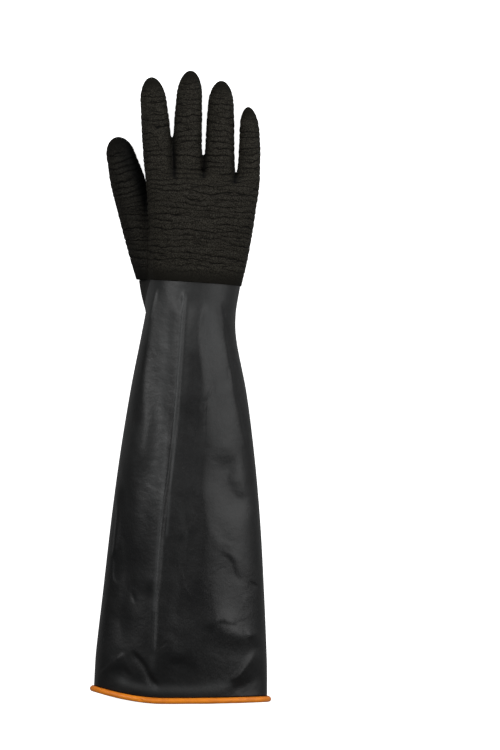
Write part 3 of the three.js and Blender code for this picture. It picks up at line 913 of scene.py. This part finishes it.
# seat is the place across the knuckles, root the share of the palm, lean is degrees and bow a share of
# the stall's width. Lengths and widths are millimetres.
stalls = [
    {"name": "index", "seat": -0.76, "root": 0.797, "lean": -4.8, "bow": 0.02, "length": 111.5, "width": 27.6,
     "swell": -0.02},
    {"name": "middle", "seat": -0.275, "root": 0.823, "lean": 1.5, "bow": -0.04, "length": 116.5, "width": 27,
     "swell": 0.06},
    {"name": "ring", "seat": 0.3, "root": 0.797, "lean": 1.3, "bow": 0.0, "length": 111.5, "width": 27.4,
     "swell": 0.12},
    {"name": "little", "seat": 0.79, "root": 0.761, "lean": 1.8, "bow": 0.12, "length": 92.5, "width": 21,
     "swell": 0.12},
    {"name": "thumb", "seat": -0.84, "root": 0.12, "lean": -15.2, "bow": 0.0, "length": 128.5, "width": 34.4,
     "swell": 0.0},
]
finger_girth = [
    {"at": 0.0, "girth": 0.95, "swell": 1.0}, {"at": 0.2, "girth": 0.97, "swell": 1.0},
    {"at": 0.35, "girth": 1.0, "swell": 0.6}, {"at": 0.5, "girth": 1.0, "swell": 0.1},
    {"at": 0.8, "girth": 0.96, "swell": 0.0}, {"at": 1.0, "girth": 0.9, "swell": 0.0},
]
thumb_girth = [
    {"at": -0.45, "girth": 0.88, "swell": 0.0}, {"at": 0.0, "girth": 0.98, "swell": 0.0},
    {"at": 0.25, "girth": 1.0, "swell": 0.0}, {"at": 0.5, "girth": 0.99, "swell": 0.0},
    {"at": 0.8, "girth": 0.95, "swell": 0.0}, {"at": 1.0, "girth": 0.8, "swell": 0.0},
]


def stall_root(stall):
    at = sleeve_length + stall["root"] * palm_length
    middle = float(tube_section(at)["middle"])
    x = middle + stall["seat"] * knuckle_width / 2
    return np.array([x, at - math.tan(hand_turn) * (x - middle), 0.0]) + rim_origin


def stall_place(stall, share, half_height):
    lean = math.radians(stall["lean"])
    reach = share * stall["length"] * MM
    sideways = stall["bow"] * stall["width"] * MM * np.sin(np.pi * share)
    drop = finger_droop * np.maximum(share, 0) ** 1.3
    height = 0 if stall["name"] == "thumb" else finger_root_height - drop
    root = stall_root(stall)
    return np.stack([
        root[0] + reach * math.sin(lean) + sideways * math.cos(lean),
        root[1] + reach * math.cos(lean) - sideways * math.sin(lean),
        np.maximum(height, half_height),
    ], axis=-1)


def stall_rings(stall, inset):
    thumb = stall["name"] == "thumb"
    tip = thumb_tip_length if thumb else finger_tip_length
    length = stall["length"] * MM
    tip_start = 1 - tip / length
    body = np.linspace(-thumb_ball_length / length if thumb else 0, 1, 70)
    rows = thumb_girth if thumb else finger_girth
    girth = read_column(rows, "girth", body)
    swell = stall["swell"] * read_column(rows, "swell", body)
    turn = np.linspace(0, np.pi / 2, 20)[1:-1]
    share = np.concatenate([body * tip_start, tip_start + (tip - inset) / length * np.sin(turn)])
    closing = np.concatenate([np.ones(len(body)), np.cos(turn)])
    girth = np.concatenate([girth, np.full(len(turn), girth[-1])]) * stall["width"] * MM / 2
    half_height = girth * (thumb_flatness if thumb else stall_flatness)
    half_width = girth + np.concatenate([swell, np.zeros(len(turn))]) * stall["width"] * MM / 2
    middle = stall_place(stall, share, half_height)
    angle = np.linspace(0, 2 * np.pi, stall_sides, endpoint=False)
    lean = math.radians(stall["lean"])
    across = ((half_width - inset) * closing)[:, None] * np.cos(angle)
    up = ((half_height - inset) * closing)[:, None] * np.sin(angle)
    return np.stack([
        middle[:, :1] + across * math.cos(lean),
        middle[:, 1:2] - across * math.sin(lean),
        middle[:, 2:] + up,
    ], axis=-1)


def closed_loft(rings, first):
    """Points and faces of a body through rings, with a fan at each end."""
    count, sides = rings.shape[:2]
    ends = np.stack([rings[0].mean(axis=0), rings[-1].mean(axis=0)])
    faces = grid_faces(count, sides, first)
    low, high = first + count * sides, first + count * sides + 1
    top = first + (count - 1) * sides
    for i in range(sides):
        j = (i + 1) % sides
        faces.append((first + j, first + i, low))
        faces.append((top + i, top + j, high))
    return np.concatenate([rings.reshape(-1, 3), ends]), faces


palm_sides = 120
palm_rings = 70
palm_overlap = 8 * MM  # how far the palm starts before the coat's edge, where it is cut
palm_angles = np.linspace(0, 2 * np.pi, palm_sides, endpoint=False)


def moulding(name, inset, voxel_size, rounding):
    """Palm and stalls grown into one skin with soft webs, as the wet dip leaves them."""
    reach = np.linspace(sleeve_length - palm_overlap, sleeve_length + palm_length - inset, palm_rings)
    palm = tube_points(reach, palm_angles, coat_stand - inset)
    points, faces = [], []
    for rings in [palm] + [stall_rings(stall, inset) for stall in stalls]:
        more, more_faces = closed_loft(rings, sum(len(p) for p in points))
        points.append(more)
        faces += more_faces
    piece = new_piece(name, np.concatenate(points), faces)
    remesh = piece.modifiers.new("one skin", "REMESH")
    remesh.mode = "VOXEL"
    remesh.voxel_size = voxel_size
    smooth = piece.modifiers.new("soft webs", "SMOOTH")
    smooth.factor = 0.5
    smooth.iterations = rounding
    result = bpy.data.meshes.new_from_object(piece.evaluated_get(bpy.context.evaluated_depsgraph_get()))
    bpy.data.objects.remove(piece)
    return result


def cut_at(mesh, s):
    """Keep the part of a moulding beyond the slanting plane at distance s from the rim."""
    place = tube_section(s)
    turn = float(place["turn"])
    middle = np.array([float(place["middle"]), float(s), 0.0]) + rim_origin
    bm = bmesh.new()
    bm.from_mesh(mesh)
    bmesh.ops.bisect_plane(
        bm, geom=bm.verts[:] + bm.edges[:] + bm.faces[:], dist=1e-6,
        plane_co=middle, plane_no=(math.sin(turn), math.cos(turn), 0), clear_inner=True,
    )
    bm.to_mesh(mesh)
    bm.free()
    return mesh


def points_of(mesh):
    out = np.empty(len(mesh.vertices) * 3)
    mesh.vertices.foreach_get("co", out)
    return out.reshape(-1, 3)


def grain_of(points):
    """Place of each point in the grain: across, along and height in metres, turned with each stall. Also how
    far each point is crinkled, and the painted shade on the thumb side under the hand and on the finger
    flanks that face a neighbour.
    """
    def turned(origin, angle):
        to = points[:, :2] - origin[:2]
        across = to[:, 0] * math.cos(angle) - to[:, 1] * math.sin(angle)
        along = to[:, 0] * math.sin(angle) + to[:, 1] * math.cos(angle)
        return np.stack([across + origin[0], along + origin[1]], axis=-1), along, across

    wrist = np.array([0.02, 0.1])
    palm, _, _ = turned(wrist, hand_turn)
    total = np.full(len(points), 0.35)
    painted_shade = np.zeros(len(points))
    flanks = []
    facing_share = np.ones(len(points))
    grain = palm * total[:, None]
    tip_room = np.full(len(points), 1.0)
    for stall in stalls:
        place, along, across = turned(stall_root(stall), math.radians(stall["lean"]))
        length = stall["length"] * MM
        near = np.exp(-((across / (0.42 * stall["width"] * MM)) ** 4))
        start = 0.45 if stall["name"] == "thumb" else 0.14
        weight = 4 * near * np.clip((along / length - start) / 0.2, 0, 1)
        grain += (place + np.array([0, 0.003 * (stall["seat"] * 10 % 3)])) * weight[:, None]
        total += weight
        if stall["name"] == "thumb":
            # Painted shade on the thumb side under the hand, darker on its half towards the index finger,
            # which shadows it.
            low = np.clip((thumb_shade_height - points[:, 2]) / (7 * MM), 0, 1)
            hidden = np.clip((across + 5 * MM) / (15 * MM), 0, 1)
            hidden = hidden * np.clip((along / length - 0.1) / 0.3, 0, 1)
            painted_shade = np.exp(-((across / (0.62 * stall["width"] * MM)) ** 6)) * low * (0.5 + 0.5 * hidden)
        else:
            beside = np.abs(across) / (stall["width"] * MM / 2)
            flanks.append(np.where((along > 0.1 * length) & (along < length), beside, 9))
            facing = np.where(across < 0, 1.0, 0.55)
            is_nearest = flanks[-1] <= np.min(flanks, axis=0)
            facing_share = np.where(is_nearest, facing, facing_share)
        inside = near > 0.3
        tip_room[inside] = np.minimum(tip_room[inside], (length - along)[inside])
    grain /= total[:, None]
    coat = np.clip((palm[:, 1] - (wrist[1] - 0.0015)) / (14 * MM), 0, 1)
    tips = np.clip((tip_room - 5 * MM) / (11 * MM), 0.12, 1)
    # Painted shade on the finger flanks that face a neighbour, stronger on the side towards the thumb.
    first, second = np.sort(flanks, axis=0)[:2]
    crease = np.clip((1.5 - second) / 0.4, 0, 1) * np.clip((first - 0.4) / 0.45, 0, 1) * facing_share
    return np.concatenate([grain, points[:, 2:]], axis=1), coat**1.5 * tips, np.maximum(painted_shade, crease)


def add_crinkles(tree, grain, strength):
    """Nodes for the grooves, in a mesh's tree or a material's: groove, pillow and fine groove, 0 to 1."""
    def wave(across, along, amount, salt):
        scale = add_node(tree, "ShaderNodeVectorMath", operation="MULTIPLY")
        tree.links.new(grain, scale.inputs[0])
        scale.inputs[1].default_value = (1 / across, 1 / along, 1 / across)
        shift = add_node(tree, "ShaderNodeVectorMath", operation="ADD")
        tree.links.new(scale.outputs[0], shift.inputs[0])
        shift.inputs[1].default_value = (salt, salt * 1.7, -salt)
        centred = maths(tree, "SUBTRACT", noise(tree, shift.outputs[0], 1.0, 0.0), 0.5)
        return maths(tree, "MULTIPLY", centred, amount)

    def lines(spacing, half_width, salt):
        along = add_node(tree, "ShaderNodeSeparateXYZ", {"Vector": grain}).outputs["Y"]
        phase = maths(tree, "DIVIDE", along, spacing)
        for across, reach, amount in ((0.040, 0.022, 3.0), (0.012, 0.010, 1.2), (0.0042, 0.0045, 0.6)):
            sway = amount * 0.0068 / spacing * 0.5
            phase = maths(tree, "ADD", phase, wave(across, reach, sway, salt))
            salt += 5.3
        gap = maths(tree, "ABSOLUTE", maths(tree, "SUBTRACT", maths(tree, "FRACT", phase), 0.5))
        cut = ramp(tree, gap, 0.0, half_width / spacing, 1.0, 0.0)
        return cut, ramp(tree, gap, 0.0, 0.5)

    main, swell = lines(0.0060, 0.00075, 3.1)
    minor, _ = lines(0.0041, 0.0006, 31.7)
    strong = ramp(tree, wave(0.024, 0.0062, 1.0, 57.1), -0.2, 0.08, 0.2, 1.0)
    faint = ramp(tree, wave(0.013, 0.0052, 1.0, 71.9), -0.08, 0.15, 0.0, 0.8)
    groove = maths(tree, "MULTIPLY", maths(tree, "MULTIPLY", main, strong), strength)
    thin = maths(tree, "MULTIPLY", maths(tree, "MULTIPLY", minor, faint), strength)
    pillow = maths(tree, "MULTIPLY", maths(tree, "MULTIPLY", swell, strong), strength)
    return groove, pillow, thin


crinkle_black = (0.0047, 0.0041, 0.0028, 1)
crinkle_crest = (0.008, 0.0071, 0.0049, 1)
# painted shade in the crinkle grooves
painted_groove_shade = (0.001, 0.0009, 0.0007, 1)
# grey of dust specks, which also stand in as painted glints on the crinkles
dust_and_glint_grey = (0.036, 0.033, 0.026, 1)
# near-black painted shade for the thumb side and the finger flanks
crinkle_painted_shade = (0.0007, 0.0008, 0.0008, 1)

crinkled_rubber, tree, shader = new_material("crinkled black rubber", specular=0.08)
grain = stored_value(tree, "grain", "Vector")
worn_in = stored_value(tree, "crinkling")
groove, pillow, thin = add_crinkles(tree, grain, worn_in)
skin = add_skin(tree, object_place(tree), 60.0, 2100.0, 1100.0, 0.9)
grit = ramp(tree, skin["Skin"], 0.42, 0.66)
colour = blend_colour(tree, grit, crinkle_black, crinkle_crest)
# Dust specks on the crinkled coat, partly real dust and partly painted glints.
colour = blend_colour(tree, maths(tree, "MULTIPLY", skin["Dust"], worn_in), colour, dust_and_glint_grey)
# painted shade on the thumb side under the hand and on the finger flanks between the fingers
colour = blend_colour(tree, stored_value(tree, "painted_shade"), colour, crinkle_painted_shade)
# The grooves are painted darker, as shade, over their sunk shape.
dark = maths(tree, "MAXIMUM", groove, thin)
colour = blend_colour(tree, dark, colour, painted_groove_shade)
tree.links.new(colour, shader.inputs["Base Color"])
tree.links.new(ramp(tree, pillow, 0.0, 1.0, 0.72, 0.6), shader.inputs["Roughness"])
height = maths(tree, "MULTIPLY", dark, -0.55)
height = maths(tree, "ADD", height, maths(tree, "MULTIPLY", skin["Skin"], 0.2))
bump = add_node(tree, "ShaderNodeBump", {"Height": height, "Strength": 0.9, "Distance": 0.0009})
tree.links.new(bump.outputs[0], shader.inputs["Normal"])

crinkle = bpy.data.node_groups.new("crinkle", "GeometryNodeTree")
way_in, way_out = tree_inputs(crinkle, {
    "Groove Depth": ("NodeSocketFloat", 0.00045),
    "Pillow Height": ("NodeSocketFloat", 0.0003),
    "Fine Depth": ("NodeSocketFloat", 0.0002),
    "Rubber": ("NodeSocketMaterial", None),
})
named = "GeometryNodeInputNamedAttribute"
grain = add_node(crinkle, named, {"Name": "grain"}, data_type="FLOAT_VECTOR").outputs[0]
worn_in = add_node(crinkle, named, {"Name": "crinkling"}, data_type="FLOAT").outputs[0]
groove, pillow, thin = add_crinkles(crinkle, grain, worn_in)
rise = maths(crinkle, "MULTIPLY", pillow, way_in["Pillow Height"])
rise = maths(crinkle, "SUBTRACT", rise, maths(crinkle, "MULTIPLY", groove, way_in["Groove Depth"]))
rise = maths(crinkle, "SUBTRACT", rise, maths(crinkle, "MULTIPLY", thin, way_in["Fine Depth"]))
moved = raised(crinkle, way_in["Mesh"], rise)
crinkle.links.new(dressed(crinkle, moved, way_in["Rubber"]), way_out["Mesh"])

coat_mesh = cut_at(moulding("coat", -shrinkage, voxel, 6), sleeve_length)
coat_points = points_of(coat_mesh)
grain_place, crinkling, painted_shade = grain_of(coat_points)
store(coat_mesh, "grain", "FLOAT_VECTOR", grain_place)
store(coat_mesh, "crinkling", "FLOAT", crinkling)
store(coat_mesh, "painted_shade", "FLOAT", painted_shade)
coat_maker = bpy.data.objects.new("coat", coat_mesh)
bpy.context.scene.collection.objects.link(coat_maker)
hand = apply_tree(coat_maker, crinkle, "hand", {"Rubber": crinkled_rubber})

# Inside, the wall's inner face starts beyond the lap, and a lip joins it to the coat's edge.
lining = cut_at(moulding("lining", hand_wall, inner_voxel, 3), lap_end)

whole = bmesh.new()
whole.from_mesh(hand.data)
outer_edge = [e for e in whole.edges if e.is_boundary]
turn = Vector((math.sin(hand_turn), math.cos(hand_turn), 0))


def drawn_in(mesh, edges, inward, onward):
    """A new strip of faces from an open edge, moved against the surface and along the hand."""
    corners = {v for e in edges for v in e.verts}
    normal = {v: (v.normal - turn * v.normal.dot(turn)).normalized() for v in corners}
    made = bmesh.ops.extrude_edge_only(mesh, edges=edges)["geom"]
    new_edges = [g for g in made if isinstance(g, bmesh.types.BMEdge) and g.is_boundary]
    new_corners = {v for e in new_edges for v in e.verts}
    for corner in new_corners:
        twin = min((e.other_vert(corner) for e in corner.link_edges if e.other_vert(corner) in normal),
                   key=lambda v: (v.co - corner.co).length)
        corner.co -= normal[twin] * inward
        corner.co += turn * onward
    whole.normal_update()
    return new_edges


lip_edges = drawn_in(whole, outer_edge, coat_edge, 0)
lip_edges = drawn_in(whole, lip_edges, 0, lap_length)
outer_count = len(whole.faces)
whole.from_mesh(lining)
whole.faces.ensure_lookup_table()
lining_faces = whole.faces[outer_count:]
inner_edge = [e for e in whole.edges if e.is_boundary and e.link_faces[0].index >= outer_count]
for face in lining_faces:
    face.material_index = 1
    face.normal_flip()
joined = bmesh.ops.bridge_loops(whole, edges=lip_edges + inner_edge)
for face in joined["faces"]:
    face.material_index = 1
for corner in whole.verts:
    corner.co.z = max(corner.co.z, 0)
whole.to_mesh(hand.data)
whole.free()
hand.data.materials.append(orange_inside)
hand.data.shade_smooth()
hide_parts("crinkled_hand")
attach(hand, "root")


# The studio is a plain white surface with four soft boxes round it, one on the left and three on the
# right, of which one stands beyond the fingers.
floor_reach = 4.0
floor_white = (0.92, 0.92, 0.92, 1)
floor_in_reflections = (0.45, 0.45, 0.45, 1)  # as black card beside the glove gives its edges
floor_glow = 1.0
world_glow = 0.1
floor_mesh = bpy.data.meshes.new("floor")
r = floor_reach
floor_mesh.from_pydata([(-r, -r, 0), (r, -r, 0), (r, r, 0), (-r, r, 0)], [], [(0, 1, 2, 3)])
floor = bpy.data.objects.new("floor", floor_mesh)
bpy.context.scene.collection.objects.link(floor)
white, tree, shader = new_material("white surface", specular=0.2)
seen = tree.nodes.new("ShaderNodeLightPath").outputs["Is Camera Ray"]
tree.links.new(blend_colour(tree, seen, floor_in_reflections, floor_white), shader.inputs["Base Color"])
shader.inputs["Roughness"].default_value = 0.9
shader.inputs["Emission Color"].default_value = (1, 1, 1, 1)
tree.links.new(maths(tree, "MULTIPLY", seen, floor_glow), shader.inputs["Emission Strength"])
floor_mesh.materials.append(white)

lights = [
    {"name": "left box", "at": (-1.0, 0.75, 1.6), "size": (0.8, 1.0), "power": 20.5},
    {"name": "right top box", "at": (1.3, 0.2, 1.8), "size": (1.2, 1.8), "power": 14.3},
    {"name": "right box", "at": (1.75, 0.3, 1.15), "size": (1.6, 2.4), "power": 6.4},
    {"name": "far right box", "at": (1.3, 1.5, 1.0), "size": (1.8, 1.4), "power": 17},
]
for light in lights:
    data = bpy.data.lights.new(light["name"], "AREA")
    data.shape = "RECTANGLE"
    data.size, data.size_y = light["size"]
    data.energy = light["power"]
    box = bpy.data.objects.new(light["name"], data)
    box.location = light["at"]
    box.rotation_euler = (-Vector(light["at"])).to_track_quat("-Z", "Y").to_euler()
    bpy.context.scene.collection.objects.link(box)

world = bpy.data.worlds.new("studio")
world.use_nodes = True
world.node_tree.nodes["Background"].inputs["Color"].default_value = (1, 1, 1, 1)
world.node_tree.nodes["Background"].inputs["Strength"].default_value = world_glow
bpy.context.scene.world = world
bpy.context.scene.view_settings.view_transform = "Standard"
